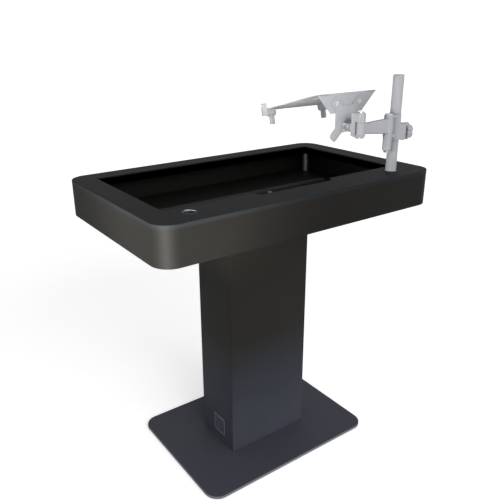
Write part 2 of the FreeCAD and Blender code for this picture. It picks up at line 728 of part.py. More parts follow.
# Head: pan knuckle on the link's end, tilt pin, cross-shaped plate
def make_head():
    axis = V(head_x, head_y, 0)
    low = head_low_z - slide_gap - head_ear_thickness
    high = head_high_z + slide_gap + head_crown
    back_y = head_y + head_radius + 2 * slide_gap
    neck_y = tilt_y - tilt_radius
    x_span = spread(head_x, head_width)
    knuckle = box(x_span, (back_y, neck_y), (low, high))
    for level, height in ((low, head_ear_thickness), (high - head_crown, head_crown)):
        web = box(x_span, (head_y, neck_y), (level, level + height))
        knuckle = knuckle.fuse([rod(head_width / 2, axis + V(0, 0, level), Z_AXIS, height), web])
    tilt_start = V(head_x - head_width / 2, tilt_y, tilt_z)
    neck = box(x_span, (back_y, tilt_y), spread(tilt_z, 2 * tilt_radius))
    knuckle = knuckle.fuse([neck, rod(tilt_radius, tilt_start, X_AXIS, head_width)])
    pin_radius = pan_pin_diameter / 2
    knuckle = drill(knuckle, [axis], pin_radius + screw_play, low, high)
    tilt_pin_radius = tilt_pin_diameter / 2
    bore_start = tilt_start - X_AXIS * overrun
    knuckle = knuckle.cut(rod(tilt_pin_radius + pin_play, bore_start, X_AXIS, head_width + 2 * overrun))
    write(knuckle.removeSplitter(), "head_knuckle")

    pin = rod(pin_radius, axis + V(0, 0, low), Z_AXIS, high - low)
    cap_radius = pan_pin_head_diameter / 2
    for level in (low - pan_pin_head_height, high):
        pin = pin.fuse(rod(cap_radius, axis + V(0, 0, level), Z_AXIS, pan_pin_head_height))
    write(pin.removeSplitter(), "pan_pin")

    ear_out = head_width / 2 + slide_gap + tilt_ear_thickness
    tilt_pin = rod(tilt_pin_radius, V(head_x - ear_out, tilt_y, tilt_z), X_AXIS, 2 * ear_out)
    for start in (head_x - ear_out - tilt_pin_head_height, head_x + ear_out):
        seat = V(start, tilt_y, tilt_z)
        tilt_pin = tilt_pin.fuse(rod(tilt_pin_head_diameter / 2, seat, X_AXIS, tilt_pin_head_height))
    write(tilt_pin.removeSplitter(), "tilt_pin")

    plate_y_span = (plate_y, plate_front_y)
    plate = box(spread(head_x, plate_core_width), plate_y_span, spread(plate_z, plate_core_height))
    half = plate_hole_spacing / 2
    holes = [V(head_x + sx * half, plate_y, plate_z + sz * half) for sx in (-1, 1) for sz in (-1, 1)]
    centre = V(head_x, plate_y, plate_z)
    arm_half = plate_arm_width / 2
    for hole in holes:
        along = hole - centre
        along.normalize()
        across = along.cross(Y_AXIS) * arm_half
        tip = hole + along * plate_arm_tail
        arm = polygon_face([centre - across, tip - across, tip + across, centre + across])
        arm = arm.extrude(Y_AXIS * plate_thickness)
        uprights = [edge for edge in arm.Edges if edge.BoundBox.YLength > plate_thickness / 2]
        ends = [edge for edge in uprights if (edge.CenterOfMass - centre).Length > half]
        plate = plate.fuse(arm.makeFillet(plate_arm_round, ends))
    for sign in SIDES.values():
        inner = head_x + sign * (head_width / 2 + slide_gap)
        outer = head_x + sign * ear_out
        span = (min(inner, outer), max(inner, outer))
        lug = box(span, (tilt_y, plate_y + plate_thickness / 2), spread(tilt_z, 2 * tilt_radius))
        plate = plate.fuse([lug, rod(tilt_radius, V(span[0], tilt_y, tilt_z), X_AXIS, span[1] - span[0])])
    bore_start = V(head_x - ear_out - overrun, tilt_y, tilt_z)
    plate = plate.cut(rod(tilt_pin_radius + screw_play, bore_start, X_AXIS, 2 * (ear_out + overrun)))
    for hole in holes:
        start = hole - Y_AXIS * overrun
        plate = plate.cut(rod(plate_hole_diameter / 2, start, Y_AXIS, plate_thickness + 2 * overrun))
    write(plate.removeSplitter(), "head_plate")

    fasteners = []
    grip = plate_thickness + bracket_thickness
    for hole in holes:
        if hole.z > plate_z:
            bolt = socket_screw(hole, Y_AXIS, plate_bolt_diameter, grip + plate_nut_height)
            flange_start = hole - Y_AXIS * plate_bolt_flange_height
            flange = rod(plate_bolt_flange_diameter / 2, flange_start, Y_AXIS, plate_bolt_flange_height)
            recess_width = 2 * plate_bolt_diameter * hex_width_share
            recess = hex_bar(flange_start, Y_AXIS, recess_width, plate_bolt_flange_height)
            fasteners.append(bolt.fuse(flange.cut(recess)).removeSplitter())
            nut_seat = hole + Y_AXIS * grip
            nut = hex_bar(nut_seat, Y_AXIS, plate_nut_diameter, plate_nut_height)
            bore_start = nut_seat - Y_AXIS * overrun
            bore_radius = plate_bolt_diameter / 2 + screw_play
            fasteners.append(nut.cut(rod(bore_radius, bore_start, Y_AXIS, plate_nut_height + 2 * overrun)))
    write(group(fasteners), "plate_bolts")


# Places on the sloping tray: x along the booth, y down the slope, z square to the tray
tray_place = FreeCAD.Placement(V(head_x, plate_front_y, bend_z), FreeCAD.Rotation(X_AXIS, -tray_slope))


def on_tray(shape):
    """Carry a shape from the tray's own flat frame to its place on the arm."""
    shape.Placement = tray_place.multiply(shape.Placement)
    return shape


def make_tray():
    low_z = bend_z - bracket_rise + plate_hole_spacing / 2 - plate_arm_width
    top_half = bracket_top_width / 2
    low_half = bracket_low_width / 2
    flange_top = bend_z - bracket_thickness / 2
    shoulder = flange_top - (top_half - low_half)
    y = plate_front_y
    outline = [V(head_x - low_half, y, low_z), V(head_x + low_half, y, low_z)]
    outline += [V(head_x + low_half, y, shoulder), V(head_x + top_half, y, flange_top)]
    outline += [V(head_x - top_half, y, flange_top), V(head_x - low_half, y, shoulder)]
    flange = polygon_face(outline).extrude(Y_AXIS * bracket_thickness)
    leg = on_tray(box(spread(0, bracket_leg_width), (0, bracket_leg_length), (-bracket_thickness, 0)))
    bracket = flange.fuse(leg)
    half = plate_hole_spacing / 2
    for sign in SIDES.values():
        start = V(head_x + sign * half, y - overrun, plate_z + half)
        bracket = bracket.cut(rod(plate_hole_diameter / 2, start, Y_AXIS, bracket_thickness + 2 * overrun))

    tray = rounded_slab(tray_width, tray_depth, tray_corner_radius, 0, tray_thickness)
    tray.translate(V(0, tray_depth / 2, 0))
    screw_radius = tray_screw_diameter / 2
    screws = []
    for place in corners(tray_screw_spacing_x, tray_screw_spacing_y):
        seat = place + V(0, bracket_leg_length / 2, -bracket_thickness)
        length = bracket_thickness + tray_screw_grip
        hole = rod(screw_radius + screw_play, seat - Z_AXIS * overrun, Z_AXIS, length + screw_play + overrun)
        tray = tray.cut(hole)
        bracket = bracket.cut(on_tray(hole.copy()))
        screws.append(on_tray(socket_screw(seat, Z_AXIS, tray_screw_diameter, length)))
    slot_radius = thumb_stud_diameter / 2 + slide_gap
    for stud in grip_studs().values():
        ends = sorted([stud.x, stud.x + math.copysign(grip_travel, stud.x)])
        slot = box(ends, spread(stud.y, 2 * slot_radius), (-overrun, tray_thickness + overrun))
        tray = tray.cut(slot)
        tray = drill(tray, [V(x, stud.y, 0) for x in ends], slot_radius, 0, tray_thickness)
    write(bracket.removeSplitter(), "tray_bracket")
    write(on_tray(tray), "tray")
    write(group(screws), "tray_screws")
    for side, sign in SIDES.items():
        pad_top = tray_thickness + pad_height
        pad = box(spread(sign * pad_spacing / 2, pad_width), spread(tray_depth / 2, pad_length),
                  (tray_thickness, pad_top))
        pad = pad.makeChamfer(pad_height * edge_chamfer_share, edges_at(pad, pad_top))
        write(on_tray(pad), "tray_pad_" + side)


def grip_studs():
    """Place of each grip's thumbscrew on the tray, by grip name."""
    stud_x = tray_width / 2 + grip_overhang - grip_length + thumb_stud_shift
    stud_y = tray_depth - grip_player_inset
    return {"near_player_" + side: V(sign * stud_x, stud_y, 0) for side, sign in SIDES.items()}


def make_grips():
    stud_radius = thumb_stud_diameter / 2
    for name, stud in grip_studs().items():
        sign = math.copysign(1, stud.x)
        outer = sign * (tray_width / 2 + grip_overhang)
        inner = outer - sign * grip_length
        finger = outer - sign * grip_finger_thickness
        block_low = -slide_gap - grip_block_height
        finger_top = tray_thickness + grip_finger_rise
        y_span = spread(stud.y, grip_width)
        grip = box(sorted([inner, outer]), y_span, (block_low, -slide_gap))
        grip = grip.fuse(box(sorted([finger, outer]), y_span, (block_low, finger_top))).removeSplitter()
        grip = grip.makeFillet(grip_finger_thickness * edge_round_share, edges_at(grip, finger_top))
        grip = drill(grip, [stud], stud_radius + pin_play, block_low, -slide_gap)
        write(on_tray(grip), "grip_" + name)

        flange_top = block_low - slide_gap
        disc_low = tray_thickness + slide_gap
        knob_top = flange_top - thumb_flange_height
        screw = rod(stud_radius, stud + V(0, 0, knob_top), Z_AXIS, disc_low - knob_top)
        disc = rod(thumb_disc_diameter / 2, stud + V(0, 0, disc_low), Z_AXIS, thumb_disc_height)
        flange = rod(thumb_flange_diameter / 2, stud + V(0, 0, knob_top), Z_AXIS, thumb_flange_height)
        knob_foot = stud + V(0, 0, knob_top - thumb_knob_length)
        knob = rod(thumb_knob_diameter / 2, knob_foot, Z_AXIS, thumb_knob_length)
        for i in range(flute_count):
            angle = 2 * math.pi * i / flute_count
            rim = V(math.cos(angle), math.sin(angle), 0) * (thumb_knob_diameter / 2 + flute_radius / 2)
            start = knob_foot + rim - Z_AXIS * overrun
            knob = knob.cut(rod(flute_radius, start, Z_AXIS, thumb_knob_length + overrun))
        write(on_tray(screw.fuse([disc, flange, knob]).removeSplitter()), "thumbscrew_" + name)


os.makedirs("parts", exist_ok=True)
make_base()
make_column()
make_table()
make_well()
make_sockets()
make_mast()
make_arm()
make_head()
make_tray()
make_grips()
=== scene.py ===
import math

import bmesh
import bpy
from mathutils import Matrix, Vector


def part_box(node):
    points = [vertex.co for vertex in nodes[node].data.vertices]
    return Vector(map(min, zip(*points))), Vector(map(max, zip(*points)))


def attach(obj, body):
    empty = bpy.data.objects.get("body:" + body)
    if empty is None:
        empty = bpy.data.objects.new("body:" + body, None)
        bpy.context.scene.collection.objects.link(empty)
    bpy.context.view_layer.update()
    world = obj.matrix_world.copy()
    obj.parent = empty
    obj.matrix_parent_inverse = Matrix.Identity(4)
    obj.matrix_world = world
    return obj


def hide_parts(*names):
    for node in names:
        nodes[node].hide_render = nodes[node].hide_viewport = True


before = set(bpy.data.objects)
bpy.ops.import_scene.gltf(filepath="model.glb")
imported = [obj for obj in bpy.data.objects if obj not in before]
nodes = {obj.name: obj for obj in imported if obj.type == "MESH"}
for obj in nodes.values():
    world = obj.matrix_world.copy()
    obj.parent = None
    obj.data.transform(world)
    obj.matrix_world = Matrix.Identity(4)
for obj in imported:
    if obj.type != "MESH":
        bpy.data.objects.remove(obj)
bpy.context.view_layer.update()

# Base plate
# One plate of 10 mm steel, cut with round corners, its top edge dressed round and the whole powder coated.
# The underside has pockets for four rubber feet and counterbores for the bolts that hold the column.
mm = 0.001
base_min, base_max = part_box("base_plate")
base_length, base_depth, base_thick = base_max - base_min
base_corner, base_corner_steps = 50 * mm, 14
dressed_round, dressed_steps = 1.5 * mm, 4
foot_min, foot_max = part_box("foot_rear_right")
foot_x, foot_y = ((foot_min + foot_max) / 2).xy
pocket_radius, pocket_depth, pocket_steps = 20.3 * mm, foot_max.z - base_min.z, 40
bolt_x, bolt_y = 120 * mm, 62 * mm
bore_radius, bore_depth, bore_steps = 8.3 * mm, 6.5 * mm, 28


def linear(code):
    """Turns an sRGB hex value to the linear colour that the shaders take."""
    parts = [int(code[i:i + 2], 16) / 255 for i in (0, 2, 4)]
    return tuple(c / 12.92 if c <= 0.04045 else ((c + 0.055) / 1.055) ** 2.4 for c in parts) + (1.0,)


def feed(node, inputs):
    """Feeds a shader node's inputs with values or with other nodes' outputs."""
    for key, value in inputs.items():
        if isinstance(value, bpy.types.NodeSocket):
            node.id_data.links.new(value, node.inputs[key])
        else:
            node.inputs[key].default_value = value
    return node


def add(tree, kind, inputs, **settings):
    """Adds one shader node with its settings, and feeds its inputs."""
    node = tree.nodes.new("ShaderNode" + kind)
    for name, value in settings.items():
        setattr(node, name, value)
    return feed(node, inputs)


def new_finish(name):
    """Starts a material and gives back its tree, its surface shader and the place on the piece."""
    finish = bpy.data.materials.new(name)
    finish.use_nodes = True
    tree = finish.node_tree
    return finish, tree, tree.nodes["Principled BSDF"], add(tree, "TexCoord", {}).outputs["Object"]


# A Mix of two colours takes its share and the colours at these inputs, and gives the mix at this output.
share, colour_a, colour_b, mixed = 0, 6, 7, 2

# Textured powder coat for the plate that feet scuff: charcoal with a blue cast, a fine sand grain, hardly any
# shine. The grain is about 0.3 mm across, drawn at 1.5 mm; the sides and the rounded top edge are painted
# paler, a painted highlight for the light they catch.
textured_coat, tree, shader, place = new_finish("powder_coat_textured_charcoal")
sand = add(tree, "TexNoise", {"Vector": place, "Scale": 1 / (1.5 * mm), "Detail": 3.0})
tone = add(tree, "Mix", {share: sand.outputs["Fac"], colour_a: linear("383941"), colour_b: linear("474851")},
           data_type="RGBA")
# Painted highlight: every face that is neither flat on top nor facing down, the sides and rounded edge, is
# paler.
facing = add(tree, "SeparateXYZ", {"Vector": place.node.outputs["Normal"]})
edge = add(tree, "MapRange", {"Value": facing.outputs["Z"], "From Min": 0.2, "From Max": 0.85,
                              "To Min": 0.8, "To Max": 0.0})
above = add(tree, "Math", {0: facing.outputs["Z"], 1: -0.5}, operation="GREATER_THAN")
edge = add(tree, "Math", {0: edge.outputs["Result"], 1: above.outputs[0]}, operation="MULTIPLY")
tone = add(tree, "Mix", {share: edge.outputs[0], colour_a: tone.outputs[mixed], colour_b: linear("7d7f86")},
           data_type="RGBA")
bump = add(tree, "Bump", {"Strength": 0.4, "Distance": 0.12 * mm, "Height": sand.outputs["Fac"]})
feed(shader, {"Metallic": 0.0, "Specular IOR Level": 0.2, "Roughness": 0.72,
              "Base Color": tone.outputs[mixed], "Normal": bump.outputs["Normal"]})

# Polyester powder coat, sprayed and baked on steel: deep black, satin, with the faint orange peel of the
# melted powder. The peel is about 1 to 2 mm across, which the picture can't show, so it is drawn at 4 mm.
# The colour is painted by height: paler and bluer towards the floor, a painted reflection of the base plate
# and floor; a warmer dark on the column under the table, darkest on the band, and lighter and cooler on the
# top, a painted highlight from the lamps above.
powder_coat, tree, shader, place = new_finish("powder_coat_satin_black")
peel = add(tree, "TexNoise", {"Vector": place, "Scale": 1 / (4 * mm), "Detail": 2.0})
cloud = add(tree, "TexNoise", {"Vector": place, "Scale": 1 / (160 * mm), "Detail": 4.0, "Roughness": 0.6})
# Painted light by height: paler and bluer near the floor, darkest on the band, lighter and cooler on the top.
height = add(tree, "SeparateXYZ", {"Vector": place})
painted_height_light = add(tree, "ValToRGB", {"Fac": height.outputs["Z"]})
stops = painted_height_light.color_ramp.elements
stops[0].position, stops[0].color = 40 * mm, linear("44464f")
stops[1].position, stops[1].color = 1000 * mm, linear("191a1c")
for level, colour in ((240 * mm, "33353d"), (450 * mm, "22211e"), (880 * mm, "1e1d19"), (892 * mm, "131210"),
                      (998 * mm, "131210")):
    stops.new(level).color = linear(colour)
shade = add(tree, "MapRange", {"Value": cloud.outputs["Fac"], "To Min": 0.85, "To Max": 1.15})
tone = add(tree, "Mix", {share: 1.0, colour_a: painted_height_light.outputs["Color"], colour_b: shade.outputs["Result"]},
           data_type="RGBA", blend_type="MULTIPLY")
gloss = add(tree, "MapRange", {"Value": cloud.outputs["Fac"], "To Min": 0.58, "To Max": 0.66})
bump = add(tree, "Bump", {"Strength": 0.25, "Distance": 0.06 * mm, "Height": peel.outputs["Fac"]})
feed(shader, {"Metallic": 0.0, "Specular IOR Level": 0.09, "Roughness": gloss.outputs["Result"],
              "Base Color": tone.outputs[mixed], "Normal": bump.outputs["Normal"]})


def outline(bm, length, depth, corner, middle, steps):
    """Loop of edges round a flat rectangle with round corners."""
    before = set(bm.faces)
    spread = Matrix.Translation(middle) @ Matrix.Diagonal((length / 2, depth / 2, 1, 1))
    verts = bmesh.ops.create_grid(bm, x_segments=1, y_segments=1, size=1, matrix=spread)["verts"]
    bmesh.ops.bevel(bm, geom=verts, offset=corner, segments=steps, profile=0.5, affect="VERTICES",
                    material=-1)
    flat = [face for face in bm.faces if face not in before]
    edges = [edge for face in flat for edge in face.edges]
    bmesh.ops.delete(bm, geom=flat, context="FACES_ONLY")
    return edges


def ring(bm, radius, middle, steps):
    """Loop of edges round a flat circle."""
    spot = Matrix.Translation(middle)
    verts = bmesh.ops.create_circle(bm, radius=radius, segments=steps, matrix=spot)["verts"]
    return list(dict.fromkeys(edge for vert in verts for edge in vert.link_edges))


def draw_wall(bm, edges, move):
    """Draws a wall out of a loop of edges, and gives back the loop at its far end."""
    made = bmesh.ops.extrude_edge_only(bm, edges=edges)["geom"]
    verts = {part for part in made if isinstance(part, bmesh.types.BMVert)}
    bmesh.ops.translate(bm, verts=list(verts), vec=move)
    return [part for part in made if isinstance(part, bmesh.types.BMEdge) and verts.issuperset(part.verts)]


def round_off(bm, edges, radius, steps):
    """Rounds a run of edges."""
    bmesh.ops.bevel(bm, geom=edges, offset=radius, offset_type="OFFSET", segments=steps, profile=0.5,
                    affect="EDGES", clamp_overlap=True, material=-1)


def put(bm, name, finish):
    """Puts a shaped mesh into the scene with a finish."""
    mesh = bpy.data.meshes.new(name)
    bm.to_mesh(mesh)
    bm.free()
    mesh.shade_smooth()
    mesh.materials.append(finish)
    piece = bpy.data.objects.new(name, mesh)
    bpy.context.scene.collection.objects.link(piece)
    return piece


# Edges that bend by more than this are drawn sharp, and the others smooth.
crease = math.radians(34)


def set_piece(bm, name, finish, body, slot, *stands_for):
    """Makes a shaped mesh a finished piece that rides on a body and stands for nodes of the frame."""
    piece = put(bm, name, finish)
    piece.data.set_sharp_from_angle(angle=crease)
    even = piece.modifiers.new("even_faces", "WEIGHTED_NORMAL")
    even.keep_sharp = True
    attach(piece, body)
    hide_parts(*stands_for)
    return piece


base = bmesh.new()
under = outline(base, base_length, base_depth, base_corner, (0, 0, base_min.z), base_corner_steps)
pockets = []
for sx in (-1, 1):
    for sy in (-1, 1):
        pocket = ring(base, pocket_radius, (sx * foot_x, sy * foot_y, base_min.z), pocket_steps)
        bore = ring(base, bore_radius, (sx * bolt_x, sy * bolt_y, base_min.z), bore_steps)
        pockets += [(pocket, pocket_depth), (bore, bore_depth)]
mouths = [edge for edges, depth in pockets for edge in edges]
bmesh.ops.triangle_fill(base, edges=under + mouths, use_beauty=True)
for edges, depth in pockets:
    bmesh.ops.edgeloop_fill(base, edges=draw_wall(base, edges, (0, 0, depth)))
top_edge = draw_wall(base, under, (0, 0, base_thick))
bmesh.ops.edgeloop_fill(base, edges=top_edge)
bmesh.ops.recalc_face_normals(base, faces=base.faces)
round_off(base, top_edge, dressed_round, dressed_steps)
set_piece(base, "base_plate_cut_steel", textured_coat, "booth", "black_powder_coat", "base_plate")

# Feet
# Four moulded rubber discs pressed into the base plate's pockets, standing 2 mm proud of it.
# Each has a rounded lower rim and two moulded grooves that grip the floor.
foot_steps = 48

# Moulded rubber: dull black, slightly greyed by handling, with the grain of the mould.
# The mould grain is a tenth of a millimetre, drawn here at 1 mm.
black_rubber, tree, shader, place = new_finish("moulded_black_rubber")
grain = add(tree, "TexNoise", {"Vector": place, "Scale": 1 / (1 * mm), "Detail": 3.0})
bloom = add(tree, "TexNoise", {"Vector": place, "Scale": 1 / (40 * mm), "Detail": 3.0})
tone = add(tree, "Mix", {share: bloom.outputs["Fac"], colour_a: linear("17171a"), colour_b: linear("26262a")},
           data_type="RGBA")
bump = add(tree, "Bump", {"Strength": 0.4, "Distance": 0.1 * mm, "Height": grain.outputs["Fac"]})
feed(shader, {"Metallic": 0.0, "Specular IOR Level": 0.35, "Roughness": 0.78,
              "Base Color": tone.outputs[mixed], "Normal": bump.outputs["Normal"]})


def turned(points, middle, axis, steps):
    """Mesh of a turned piece: a half outline in mm, away from the axis and along it, spun about it."""
    bm = bmesh.new()
    verts = [bm.verts.new((out * mm, 0, along * mm)) for out, along in points]
    edges = [bm.edges.new(pair) for pair in zip(verts, verts[1:])]
    bmesh.ops.spin(bm, geom=verts + edges, cent=(0, 0, 0), axis=(0, 0, 1), angle=2 * math.pi, steps=steps,
                   use_merge=True)
    bmesh.ops.remove_doubles(bm, verts=bm.verts, dist=0.001 * mm)
    bmesh.ops.recalc_face_normals(bm, faces=bm.faces)
    turn = Vector((0, 0, 1)).rotation_difference(Vector(axis)).to_matrix().to_4x4()
    bmesh.ops.transform(bm, matrix=Matrix.Translation(middle) @ turn, verts=bm.verts)
    return bm


foot_outline = [(0, 0.8), (7, 0.8), (7.6, 0), (10.4, 0), (11, 0.8), (13, 0.8), (13.6, 0), (18.6, 0),
                (19.6, 0.4), (20, 1.4), (20, 4.7), (19.7, 5), (0, 5)]
for name, sx, sy in (("front_left", -1, -1), ("front_right", 1, -1), ("rear_left", -1, 1),
                     ("rear_right", 1, 1)):
    foot = turned(foot_outline, (sx * foot_x, sy * foot_y, 0), (0, 0, 1), foot_steps)
    set_piece(foot, "foot_disc_" + name, black_rubber, "booth", "black_rubber", "foot_" + name)

# Column
# A shell of 2.5 mm steel sheet folded round the front and both sides, with two laps welded in at the back.
# A flat cover closes the back on ten screws, and a rubber grommet at its foot lets the cables out.
column_min, column_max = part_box("column_shell")
column_middle, column_high = (column_min + column_max) / 2, column_max.z - column_min.z
sheet, bend, bend_steps, lap_width = 2.5 * mm, 2.4 * mm, 5, 22 * mm
shell = bmesh.new()
plan = [(column_min.x, column_max.y), (column_min.x, column_min.y), (column_max.x, column_min.y),
        (column_max.x, column_max.y)]
verts = [shell.verts.new((x, y, column_min.z)) for x, y in plan]
line = [shell.edges.new(pair) for pair in zip(verts, verts[1:])]
draw_wall(shell, line, (0, 0, column_high))
bmesh.ops.recalc_face_normals(shell, faces=shell.faces)
folds = [edge for edge in shell.edges if len(edge.link_faces) == 2]
round_off(shell, folds, bend, bend_steps)
if sum(face.normal.y for face in shell.faces) > 0:
    bmesh.ops.reverse_faces(shell, faces=shell.faces)
bmesh.ops.solidify(shell, geom=list(shell.faces), thickness=sheet)
lap_x, lap_y = column_max.x - sheet - lap_width / 2, column_max.y - sheet - sheet / 2
for side in (-1, 1):
    spot = Matrix.Translation((side * lap_x, lap_y, column_middle.z))
    size = Matrix.Diagonal((lap_width, sheet, column_high, 1))
    bmesh.ops.create_cube(shell, size=1, matrix=spot @ size)
set_piece(shell, "column_folded_sheet", powder_coat, "booth", "black_powder_coat", "column_shell")


def draw_solid(bm, faces, move):
    """Draws flat faces out into a solid."""
    made = bmesh.ops.extrude_face_region(bm, geom=faces, use_keep_orig=True)["geom"]
    bmesh.ops.translate(bm, verts=[part for part in made if isinstance(part, bmesh.types.BMVert)], vec=move)


cover_min, cover_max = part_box("column_rear_cover")
cover_middle, cover_corner, cover_corner_steps = (cover_min + cover_max) / 2, 1 * mm, 3
grommet_min, grommet_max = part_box("cable_grommet")
exit_middle = (grommet_min + grommet_max) / 2
exit_length, exit_height, exit_corner, exit_corner_steps = 72 * mm, 38 * mm, 12 * mm, 8
cover = bmesh.new()
cover_rim = outline(cover, cover_max.x - cover_min.x, cover_max.z - cover_min.z, cover_corner,
                    (0, cover_middle.z, 0), cover_corner_steps)
cable_exit = outline(cover, exit_length, exit_height, exit_corner, (0, exit_middle.z, 0), exit_corner_steps)
back = bmesh.ops.triangle_fill(cover, edges=cover_rim + cable_exit, use_beauty=True)["geom"]
draw_solid(cover, back, (0, 0, sheet))
bmesh.ops.rotate(cover, verts=cover.verts, cent=(0, 0, 0), matrix=Matrix.Rotation(math.pi / 2, 3, "X"))
bmesh.ops.translate(cover, verts=cover.verts, vec=(0, cover_max.y, 0))
bmesh.ops.recalc_face_normals(cover, faces=cover.faces)
set_piece(cover, "column_cover_sheet", powder_coat, "booth", "black_powder_coat", "column_rear_cover")

# Faces that meet flatter than the first angle are one face, and edges sharper than the second are eased.
flat_angle, edge_angle = math.radians(0.4), math.radians(40)


def ease(node, name, finish, body, slot, radius=0.0, steps=1):
    """Makes a node a finished piece with its outer edges eased, as a casting's or a moulding's are."""
    bm = bmesh.new()
    bm.from_mesh(nodes[node].data)
    bmesh.ops.remove_doubles(bm, verts=bm.verts, dist=0.002 * mm)
    bmesh.ops.dissolve_limit(bm, angle_limit=flat_angle, verts=bm.verts, edges=bm.edges)
    edges = [edge for edge in bm.edges
             if len(edge.link_faces) == 2 and edge.is_convex and edge.calc_face_angle() > edge_angle]
    if radius > 0:
        round_off(bm, edges, radius, steps)
    set_piece(bm, name, finish, body, slot, node)


def dress(finish, *names):
    """Gives nodes that keep their shape a finish."""
    for name in names:
        nodes[name].data.materials.clear()
        nodes[name].data.materials.append(finish)


# Zinc-plated steel with a clear passivation: bright grey with a faint warm and cold bloom, softly reflecting.
zinc_plate, tree, shader, place = new_finish("zinc_plated_steel")
bloom = add(tree, "TexNoise", {"Vector": place, "Scale": 1 / (18 * mm), "Detail": 3.0})
grit = add(tree, "TexNoise", {"Vector": place, "Scale": 1 / (1.5 * mm), "Detail": 2.0})
tone = add(tree, "Mix", {share: bloom.outputs["Fac"], colour_a: linear("a9adb3"), colour_b: linear("b9b6aa")},
           data_type="RGBA")
gloss = add(tree, "MapRange", {"Value": grit.outputs["Fac"], "To Min": 0.28, "To Max": 0.46})
feed(shader, {"Metallic": 1.0, "Specular IOR Level": 0.5, "Roughness": gloss.outputs["Result"],
              "Base Color": tone.outputs[mixed]})
dress(zinc_plate, "column_foot_flange", "column_head_flange", "base_bolts", "rear_cover_screws", "head_bolts")
ease("cable_grommet", "cable_grommet_moulded", black_rubber, "booth", "black_rubber")

# Name plate
# A blank square plate of aluminium, brushed and lacquered slate grey, low on the column's left side.
# Four small rivets hold it, and a groove filled with pale enamel runs round inside its edge.
plate_min, plate_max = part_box("name_plate")
plate_thick, plate_side = (plate_max - plate_min).xy
plate_middle = (plate_min + plate_max) / 2
plate_corner, plate_corner_steps, plate_round, plate_round_steps = 5 * mm, 6, 0.4 * mm, 2
groove_inset, groove_width, groove_flank, groove_depth = 2.6 * mm, 1.8 * mm, 0.2 * mm, 0.35 * mm
rivet_inset, rivet_steps = 7 * mm, 24

# Brushed aluminium under a matt lacquer: slate grey, with the long fine strokes showing faintly through.
# Brush strokes are a few hundredths of a millimetre apart, drawn here at 0.7 mm.
slate_lacquer, tree, shader, place = new_finish("lacquered_brushed_aluminium")
along = add(tree, "Mapping", {"Vector": place, "Scale": (1, 1 / (90 * mm), 1 / (0.7 * mm))})
strokes = add(tree, "TexNoise", {"Vector": along.outputs["Vector"], "Scale": 1.0, "Detail": 4.0})
tone = add(tree, "Mix", {share: strokes.outputs["Fac"], colour_a: linear("42444e"),
                         colour_b: linear("4e505a")}, data_type="RGBA")
gloss = add(tree, "MapRange", {"Value": strokes.outputs["Fac"], "To Min": 0.34, "To Max": 0.52})
bump = add(tree, "Bump", {"Strength": 0.2, "Distance": 0.03 * mm, "Height": strokes.outputs["Fac"]})
feed(shader, {"Metallic": 0.0, "Specular IOR Level": 0.35, "Roughness": gloss.outputs["Result"],
              "Base Color": tone.outputs[mixed], "Normal": bump.outputs["Normal"]})

# Enamel filled into the groove by hand and wiped level: pale grey and smooth, with small clouds in it.
pale_enamel, tree, shader, place = new_finish("filled_pale_enamel")
clouds = add(tree, "TexNoise", {"Vector": place, "Scale": 1 / (2 * mm), "Detail": 2.0})
tone = add(tree, "Mix", {share: clouds.outputs["Fac"], colour_a: linear("c2c1c2"),
                         colour_b: linear("d6d4d3")}, data_type="RGBA")
gloss = add(tree, "MapRange", {"Value": clouds.outputs["Fac"], "To Min": 0.3, "To Max": 0.42})
feed(shader, {"Metallic": 0.0, "Specular IOR Level": 0.5, "Roughness": gloss.outputs["Result"],
              "Base Color": tone.outputs[mixed]})

badge = bmesh.new()
edge_loop = outline(badge, plate_side, plate_side, plate_corner, (0, 0, 0), plate_corner_steps)
bmesh.ops.edgeloop_fill(badge, edges=edge_loop)
face_edge = draw_wall(badge, edge_loop, (0, 0, plate_thick))
bmesh.ops.edgeloop_fill(badge, edges=face_edge)
bmesh.ops.recalc_face_normals(badge, faces=badge.faces)
round_off(badge, face_edge, plate_round, plate_round_steps)
front = [max(badge.faces, key=lambda face: face.calc_center_median().z)]
bmesh.ops.inset_region(badge, faces=front, thickness=groove_inset, use_even_offset=True)
groove = bmesh.ops.inset_region(badge, faces=front, thickness=groove_width, use_even_offset=True)["faces"]
bmesh.ops.inset_region(badge, faces=groove, thickness=groove_flank, depth=-groove_depth, use_even_offset=True)
for face in groove:
    face.material_index = 1
bmesh.ops.rotate(badge, verts=badge.verts, cent=(0, 0, 0), matrix=Matrix.Rotation(-math.pi / 2, 3, "Y"))
bmesh.ops.translate(badge, verts=badge.verts, vec=(plate_max.x, plate_middle.y, plate_middle.z))
plate = set_piece(badge, "name_plate_blank", slate_lacquer, "booth", "blank_plate_aluminium", "name_plate")
plate.data.materials.append(pale_enamel)

rivet_outline = [(0, 1), (1.2, 0.93), (2.2, 0.68), (2.8, 0.3), (3, 0), (1.5, 0), (1.5, -4), (0, -4)]
reach = plate_side / 2 - rivet_inset
for number, (sy, sz) in enumerate(((-1, -1), (1, -1), (-1, 1), (1, 1)), 1):
    spot = (plate_min.x, plate_middle.y + sy * reach, plate_middle.z + sz * reach)
    rivet = turned(rivet_outline, spot, (-1, 0, 0), rivet_steps)
    stands_for = ["name_plate_rivets"] if number == 1 else []
    set_piece(rivet, "name_plate_rivet_%d" % number, slate_lacquer, "booth", "blank_plate_aluminium",
              *stands_for)

